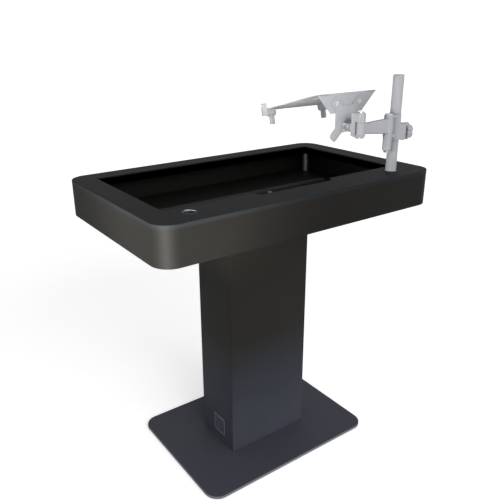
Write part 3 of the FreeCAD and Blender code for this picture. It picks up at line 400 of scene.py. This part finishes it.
# Table floor and its band
# The floor is a 4 mm steel sheet bolted on the column's head, with a rubber-lined cable port in its middle.
# The band is 3 mm sheet rolled round four corners and welded shut at the back; both are powder coated black.
band_min, band_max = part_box("apron_band")
table_length, table_depth, band_high = band_max - band_min
table_corner, table_corner_steps, band_wall = 58 * mm, 24, 3 * mm
dress(powder_coat, "well_floor", "rest_rail_front", "rest_rail_rear")
band = bmesh.new()
outer = outline(band, table_length, table_depth, table_corner, (0, 0, band_min.z), table_corner_steps)
inner = outline(band, table_length - 2 * band_wall, table_depth - 2 * band_wall, table_corner - band_wall,
                (0, 0, band_min.z), table_corner_steps)
bmesh.ops.bridge_loops(band, edges=outer + inner)
outer_top = draw_wall(band, outer, (0, 0, band_high))
inner_top = draw_wall(band, inner, (0, 0, band_high))
bmesh.ops.bridge_loops(band, edges=outer_top + inner_top)
bmesh.ops.recalc_face_normals(band, faces=band.faces)
round_off(band, outer, dressed_round, dressed_steps)
set_piece(band, "apron_band_rolled_sheet", powder_coat, "booth", "black_powder_coat", "apron_band")

# Corner posts
# Four turned steel posts stand between the floor and the top frame, each drawn up by a long bolt from below.
# They keep their plain shape and are zinc plated.
dress(zinc_plate, "post_front_left", "post_front_right", "post_rear_left", "post_rear_right", "corner_bolts")

# Top frame
# A 4 mm steel frame with the well cut out of it, and a lip folded down all round that cut-out.
# Its outer edge is dressed round to meet the band, and the two pole sockets come up through it at the front.
top_min, top_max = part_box("top_frame")
frame_low, frame_thick = band_max.z, top_max.z - band_max.z
lip_wall, well_x, well_rear, well_front = 3 * mm, 443 * mm, 248 * mm, -199 * mm
notch_mouth, notch_root, notch_front = 154 * mm, 137 * mm, -225 * mm
ring_min, ring_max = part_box("socket_ring_right")
socket_x, socket_y = ((ring_min + ring_max) / 2).xy
seat_radius, seat_steps = 20.35 * mm, 48

# The lip's outer side runs one wall outside the well's edge, so the notch's slanted sides shift as well.
slant_x, slant_y = notch_mouth - notch_root, well_front - notch_front
slant_shift = lip_wall * (math.hypot(slant_x, slant_y) - slant_x) / slant_y
lip_plan = [(well_x + lip_wall, well_rear + lip_wall), (well_x + lip_wall, well_front - lip_wall),
            (notch_mouth + slant_shift, well_front - lip_wall),
            (notch_root + slant_shift, notch_front - lip_wall)]
lip_plan += [(-x, y) for x, y in reversed(lip_plan)]
top = bmesh.new()
lip_face = top.faces.new([top.verts.new((x, y, top_min.z)) for x, y in lip_plan])
lip_edge = list(lip_face.edges)
bmesh.ops.inset_individual(top, faces=[lip_face], thickness=lip_wall, use_even_offset=True)
well_edge = list(lip_face.edges)
bmesh.ops.delete(top, geom=[lip_face], context="FACES_ONLY")
well_top = draw_wall(top, well_edge, (0, 0, top_max.z - top_min.z))
lip_top = draw_wall(top, lip_edge, (0, 0, frame_low - top_min.z))
rim = outline(top, table_length, table_depth, table_corner, (0, 0, frame_low), table_corner_steps)
rim_top = draw_wall(top, rim, (0, 0, frame_thick))
seats = [ring(top, seat_radius, (side * socket_x, socket_y, frame_low), seat_steps) for side in (-1, 1)]
seats_top = [draw_wall(top, seat, (0, 0, frame_thick)) for seat in seats]
bmesh.ops.triangle_fill(top, edges=rim + lip_top + seats[0] + seats[1], use_beauty=True)
bmesh.ops.triangle_fill(top, edges=rim_top + well_top + seats_top[0] + seats_top[1], use_beauty=True)
bmesh.ops.recalc_face_normals(top, faces=top.faces)
round_off(top, rim_top, dressed_round, dressed_steps)
set_piece(top, "top_frame_folded_sheet", powder_coat, "booth", "black_powder_coat", "top_frame")

# Well fittings
# A rubber trim lines the cable port, and two steel rails carry the ribbed rubber strips that bear the load.
# The strips are extruded, so their ribs run along their whole length.
ribs, rib_drop = 6, 1.6 * mm
# Along one rib: the share of its width, and the drop below its top.
rib_profile = ((0.18, 0), (0.62, 0), (0.76, rib_drop), (1, rib_drop))
ease("port_grommet", "port_grommet_moulded", black_rubber, "booth", "black_rubber")
for name in ("front", "rear"):
    low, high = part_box("rest_strip_" + name)
    rib_width = (high.y - low.y) / ribs
    profile = [(low.y, low.z), (low.y, high.z - rib_drop)]
    for number in range(ribs):
        profile += [(low.y + (number + part) * rib_width, high.z - drop) for part, drop in rib_profile]
    profile.append((high.y, low.z))
    strip = bmesh.new()
    section = strip.faces.new([strip.verts.new((low.x, y, z)) for y, z in profile])
    draw_solid(strip, [section], (high.x - low.x, 0, 0))
    bmesh.ops.recalc_face_normals(strip, faces=strip.faces)
    set_piece(strip, "rest_strip_ribbed_" + name, black_rubber, "booth", "black_rubber", "rest_strip_" + name)

# Pole sockets
# Each socket is a drawn steel tube on the table floor with a blackened ring let into the top frame above it.
# A black moulded knob on a screw clamps the pole from the well's side.
ring_steps = 64

# Drawn and turned steel, left bare and oiled: mid grey with fine lines round it and a soft bright reflection.
# The tool marks are a tenth of a millimetre apart, drawn here at 1.2 mm.
bare_steel, tree, shader, place = new_finish("turned_bare_steel")
around = add(tree, "Mapping", {"Vector": place, "Scale": (1 / (60 * mm), 1 / (60 * mm), 1 / (1.2 * mm))})
marks = add(tree, "TexNoise", {"Vector": around.outputs["Vector"], "Scale": 1.0, "Detail": 3.0})
tone = add(tree, "Mix", {share: marks.outputs["Fac"], colour_a: linear("8b8d91"), colour_b: linear("b4b6ba")},
           data_type="RGBA")
gloss = add(tree, "MapRange", {"Value": marks.outputs["Fac"], "To Min": 0.22, "To Max": 0.4})
feed(shader, {"Metallic": 1.0, "Specular IOR Level": 0.5, "Roughness": gloss.outputs["Result"],
              "Base Color": tone.outputs[mixed]})

# Blackened turned steel: a thin black oxide that hardly shines, rubbed through to bright metal down the bore.
oxide_steel, tree, shader, place = new_finish("blackened_turned_steel")
facing = add(tree, "SeparateXYZ", {"Vector": place.node.outputs["Normal"]})
rubbed = add(tree, "MapRange", {"Value": facing.outputs["Z"], "From Min": 0.7, "From Max": 0.92,
                                "To Min": 1.0, "To Max": 0.0})
tone = add(tree, "Mix", {share: rubbed.outputs["Result"], colour_a: linear("2a2a2c"),
                         colour_b: linear("bfc1c4")}, data_type="RGBA")
feed(shader, {"Metallic": 1.0, "Specular IOR Level": 0.5, "Roughness": 0.42,
              "Base Color": tone.outputs[mixed]})

# Glass-filled nylon, moulded: black with a fine spark-eroded grain that breaks up the shine.
# The grain is about 0.2 mm across, drawn here at 0.8 mm.
black_nylon, tree, shader, place = new_finish("moulded_black_nylon")
grain = add(tree, "TexNoise", {"Vector": place, "Scale": 1 / (0.8 * mm), "Detail": 2.0})
tone = add(tree, "Mix", {share: grain.outputs["Fac"], colour_a: linear("141415"), colour_b: linear("202022")},
           data_type="RGBA")
bump = add(tree, "Bump", {"Strength": 0.5, "Distance": 0.05 * mm, "Height": grain.outputs["Fac"]})
feed(shader, {"Metallic": 0.0, "Specular IOR Level": 0.45, "Roughness": 0.5,
              "Base Color": tone.outputs[mixed], "Normal": bump.outputs["Normal"]})

dress(bare_steel, "socket_tube_left", "socket_tube_right")
ring_outline = [(18.2, 0), (20.2, 0), (20.2, 3.7), (19.9, 4), (19.0, 4), (18.5, 3.8), (18.2, 3.3), (18.2, 0)]
for name, side in (("left", -1), ("right", 1)):
    rim_ring = turned(ring_outline, (side * socket_x, socket_y, frame_low), (0, 0, 1), ring_steps)
    set_piece(rim_ring, "socket_ring_turned_" + name, oxide_steel, "booth", "bare_steel_tube",
              "socket_ring_" + name)
    ease("socket_screw_" + name, "socket_screw_knob_" + name, black_nylon, name + "_socket_screw",
         "black_moulded_knob", radius=0.8 * mm, steps=3)

# Pole and its cap
# The pole is a 35 mm steel tube with a 3 mm wall, painted light grey, standing in the right-hand socket.
# A domed plastic cap is pushed into its top.
pole_min, pole_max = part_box("pole")
pole_x, pole_y = ((pole_min + pole_max) / 2).xy
pole_mm = (pole_max.z - pole_min.z) / mm
tube_steps, cap_steps = 72, 64

# Epoxy powder paint, light grey: smooth satin with a faint peel, drawn at 3 mm.
grey_paint, tree, shader, place = new_finish("powder_paint_light_grey")
peel = add(tree, "TexNoise", {"Vector": place, "Scale": 1 / (3 * mm), "Detail": 2.0})
cloud = add(tree, "TexNoise", {"Vector": place, "Scale": 1 / (60 * mm), "Detail": 3.0})
tone = add(tree, "Mix", {share: cloud.outputs["Fac"], colour_a: linear("97989c"), colour_b: linear("a1a2a6")},
           data_type="RGBA")
gloss = add(tree, "MapRange", {"Value": cloud.outputs["Fac"], "To Min": 0.52, "To Max": 0.62})
bump = add(tree, "Bump", {"Strength": 0.25, "Distance": 0.05 * mm, "Height": peel.outputs["Fac"]})
feed(shader, {"Metallic": 0.0, "Specular IOR Level": 0.25, "Roughness": gloss.outputs["Result"],
              "Base Color": tone.outputs[mixed], "Normal": bump.outputs["Normal"]})

# Moulded ABS in mid grey: even colour, soft sheen, a fine spark-eroded grain drawn at 0.8 mm.
grey_abs, tree, shader, place = new_finish("moulded_grey_abs")
grain = add(tree, "TexNoise", {"Vector": place, "Scale": 1 / (0.8 * mm), "Detail": 2.0})
tone = add(tree, "Mix", {share: grain.outputs["Fac"], colour_a: linear("939498"), colour_b: linear("a0a1a5")},
           data_type="RGBA")
bump = add(tree, "Bump", {"Strength": 0.4, "Distance": 0.04 * mm, "Height": grain.outputs["Fac"]})
feed(shader, {"Metallic": 0.0, "Specular IOR Level": 0.4, "Roughness": 0.48,
              "Base Color": tone.outputs[mixed], "Normal": bump.outputs["Normal"]})

tube_outline = [(14.5, 0.5), (15, 0), (17, 0), (17.5, 0.5), (17.5, pole_mm - 0.4), (17.1, pole_mm),
                (14.5, pole_mm), (14.5, 0.5)]
tube = turned(tube_outline, (pole_x, pole_y, pole_min.z), (0, 0, 1), tube_steps)
set_piece(tube, "pole_painted_tube", grey_paint, "pole", "grey_arm_paint", "pole")
cap_outline = [(0, -14), (13.6, -14), (14.3, -13), (14.3, 0), (17.5, 0), (17.5, 2.2), (17.2, 3), (16.5, 3.6),
               (15, 3.9), (10, 4), (0, 4)]
cap = turned(cap_outline, (pole_x, pole_y, pole_max.z), (0, 0, 1), cap_steps)
set_piece(cap, "pole_cap_moulded", grey_abs, "pole", "grey_moulded_plastic", "pole_cap")

# Collar
# A cast aluminium block, bored to slide on the pole, with two ears for the swing pin; painted light grey.
# A six-lobed moulded knob on its outer side clamps it at its height.
ease("collar", "collar_casting", grey_paint, "collar", "grey_arm_paint", radius=0.8 * mm, steps=3)
ease("collar_knob", "collar_knob_moulded", grey_abs, "collar_knob", "grey_moulded_plastic", radius=1.2 * mm,
     steps=3)

# Swing pin
# A steel pin through the collar's ears and the link, with a painted tension barrel and a nut under them.
# Tightening the nut sets how stiffly the link swings.

# Nickel-plated steel: pale and bright, with a slight warm cast and fine turning marks drawn at 1 mm.
nickel_steel, tree, shader, place = new_finish("nickel_plated_steel")
marks = add(tree, "TexNoise", {"Vector": place, "Scale": 1 / (1 * mm), "Detail": 2.0})
tone = add(tree, "Mix", {share: marks.outputs["Fac"], colour_a: linear("b5b3ae"), colour_b: linear("c9c7c2")},
           data_type="RGBA")
gloss = add(tree, "MapRange", {"Value": marks.outputs["Fac"], "To Min": 0.2, "To Max": 0.34})
feed(shader, {"Metallic": 1.0, "Specular IOR Level": 0.5, "Roughness": gloss.outputs["Result"],
              "Base Color": tone.outputs[mixed]})
dress(nickel_steel, "tension_nut", "plate_bolts", "tray_screws")
ease("swing_pin", "swing_pin_plated", nickel_steel, "collar", "arm_pin_steel", radius=0.3 * mm, steps=2)
ease("tension_barrel", "tension_barrel_painted", grey_paint, "collar", "grey_arm_paint", radius=0.6 * mm,
     steps=2)

# Arm link
# A cast aluminium link with a boss at each end and a tapering web between them, painted light grey.
# The swing pin goes through one boss and the head's pan pin through the other.
ease("arm_link", "arm_link_casting", grey_paint, "link", "grey_arm_paint", radius=0.8 * mm, steps=3)

# Head knuckle
# A cast aluminium knuckle, painted light grey, that pans on the link's end and carries the tilt pin.
# Both pins are plated steel.
ease("head_knuckle", "head_knuckle_casting", grey_paint, "head", "grey_arm_paint", radius=0.8 * mm, steps=3)
ease("pan_pin", "pan_pin_plated", nickel_steel, "head", "arm_pin_steel", radius=0.6 * mm, steps=2)

# Head plate
# A pressed steel cross, painted light grey, with a square of four screw holes in its arms.
# Its two lugs grip the tilt pin.
ease("head_plate", "head_plate_pressed", grey_paint, "tray", "grey_arm_paint", radius=0.5 * mm, steps=2)
ease("tilt_pin", "tilt_pin_plated", nickel_steel, "tray", "arm_pin_steel", radius=0.6 * mm, steps=2)

# Tray bracket and tray
# A folded steel bracket bolts the sloping tray to the head plate; the tray is 3 mm sheet with round corners.
# Both are painted light grey, and two rubber pads on the tray keep what lies there from sliding.

# Moulded grey rubber: dull, with a fine grain drawn at 1 mm.
grey_rubber, tree, shader, place = new_finish("moulded_grey_rubber")
grain = add(tree, "TexNoise", {"Vector": place, "Scale": 1 / (1 * mm), "Detail": 3.0})
tone = add(tree, "Mix", {share: grain.outputs["Fac"], colour_a: linear("77787c"), colour_b: linear("86878b")},
           data_type="RGBA")
bump = add(tree, "Bump", {"Strength": 0.4, "Distance": 0.1 * mm, "Height": grain.outputs["Fac"]})
feed(shader, {"Metallic": 0.0, "Specular IOR Level": 0.3, "Roughness": 0.82,
              "Base Color": tone.outputs[mixed], "Normal": bump.outputs["Normal"]})
ease("tray_bracket", "tray_bracket_folded", grey_paint, "tray", "grey_arm_paint", radius=0.4 * mm, steps=2)
ease("tray", "tray_sheet", grey_paint, "tray", "grey_arm_paint", radius=0.6 * mm, steps=2)
for name in ("left", "right"):
    ease("tray_pad_" + name, "tray_pad_moulded_" + name, grey_rubber, "tray", "grey_rubber", radius=0.4 * mm,
         steps=2)

# Corner grips
# Two moulded grips slide in slots at the tray's lower corners and hook over the edge of what lies on it.
# A fluted thumbscrew under each one clamps it to the tray.
for name in ("near_player_left", "near_player_right"):
    ease("grip_" + name, "grip_moulded_" + name, grey_abs, "grip_" + name, "grey_moulded_plastic",
         radius=0.7 * mm, steps=3)
    ease("thumbscrew_" + name, "thumbscrew_fluted_" + name, grey_abs, "thumbscrew_" + name,
         "grey_moulded_plastic", radius=0.4 * mm, steps=2)

# Studio
# A round floor of white paper that sweeps up all round, a low soft box at the left front for the near corner,
# a narrow one at the left for the arm, a large one high in front and a weak fill from the right.
scene = bpy.context.scene
scene.view_settings.view_transform = "Standard"

# Matt white paper without any shine. Where it is looked at it also glows a little, more towards its rim,
# so that it stays white all over.
studio_paper, tree, shader, place = new_finish("studio_paper_white")
ray = add(tree, "LightPath", {})
seen = add(tree, "Math", {0: ray.outputs["Is Camera Ray"], 1: ray.outputs["Is Glossy Ray"]},
           operation="MAXIMUM")
seen = add(tree, "Math", {0: seen.outputs[0], 1: ray.outputs["Is Transmission Ray"]}, operation="MAXIMUM")
distance = add(tree, "VectorMath", {0: place}, operation="LENGTH")
glow = add(tree, "MapRange", {"Value": distance.outputs["Value"], "From Min": 1.5, "From Max": 5.0,
                              "To Min": 0.42, "To Max": 0.6})
glow = add(tree, "Math", {0: seen.outputs[0], 1: glow.outputs["Result"]}, operation="MULTIPLY")
feed(shader, {"Metallic": 0.0, "Specular IOR Level": 0.0, "Roughness": 1.0, "Base Color": linear("f2f2f2"),
              "Emission Color": linear("ffffff"), "Emission Strength": glow.outputs[0]})
sweep_outline = [(0, 0), (6000, 0), (6600, 100), (7000, 400), (7200, 900), (7200, 2700)]
sweep_steps = 64
floor = put(turned(sweep_outline, (0, 0, 0), (0, 0, 1), sweep_steps), "studio_sweep", studio_paper)

world = bpy.data.worlds.new("studio_room")
scene.world = world
world.use_nodes = True
tree = world.node_tree
ray = add(tree, "LightPath", {})
level = add(tree, "MapRange", {"Value": ray.outputs["Is Camera Ray"], "To Min": 0.55, "To Max": 1.0})
feed(tree.nodes["Background"], {"Color": linear("ffffff"), "Strength": level.outputs["Result"]})


def soft_box(name, spot, aim, width, height, power, opening, tint):
    """Rectangular studio light at a spot, turned to its aim, its beam narrowed to an opening in degrees."""
    lamp = bpy.data.lights.new(name, "AREA")
    lamp.shape = "RECTANGLE"
    lamp.size, lamp.size_y, lamp.energy = width, height, power
    lamp.spread = math.radians(opening)
    lamp.color = linear(tint)[:3]
    stand = bpy.data.objects.new(name, lamp)
    stand.location = spot
    stand.rotation_euler = (Vector(aim) - Vector(spot)).to_track_quat("-Z", "Y").to_euler()
    scene.collection.objects.link(stand)


soft_box("key_soft_box", spot=(-1.0, -0.75, 0.7), aim=(-0.49, -0.26, 0.95), width=0.5, height=0.4, power=4.6,
         opening=27, tint="fbfaf6")
soft_box("front_soft_box", spot=(-0.2, -3.6, 2.6), aim=(0.0, 0.0, 0.6), width=3.4, height=2.2, power=40,
         opening=110, tint="ffffff")
soft_box("arm_soft_box", spot=(-2.0, -0.1, 1.35), aim=(0.39, -0.25, 1.2), width=0.6, height=0.6, power=0.9,
         opening=20, tint="ffffff")
soft_box("fill_soft_box", spot=(2.6, -2.4, 1.6), aim=(0.1, 0.0, 0.8), width=1.6, height=1.6, power=4,
         opening=110, tint="e4ecff")

# Camera
# It stands at eye height on the audience's side, to the left, and looks a little down on the table.
# Its frame is shifted slightly, as in a picture that was cropped after it was taken.
eye_spot = (-1.10397, -1.49307, 1.44883)
tilt, roll, turn = 68.8019, 0.6714, -34.8422
eye = bpy.data.cameras.new("photo_view")
eye.sensor_fit = "HORIZONTAL"
eye.sensor_width, eye.lens = 36.0, 40.95
eye.shift_x, eye.shift_y = 0.02893, 0.00445
stand = bpy.data.objects.new("photo_view", eye)
stand.location = eye_spot
stand.rotation_euler = [math.radians(angle) for angle in (tilt, roll, turn)]
scene.collection.objects.link(stand)
scene.camera = stand
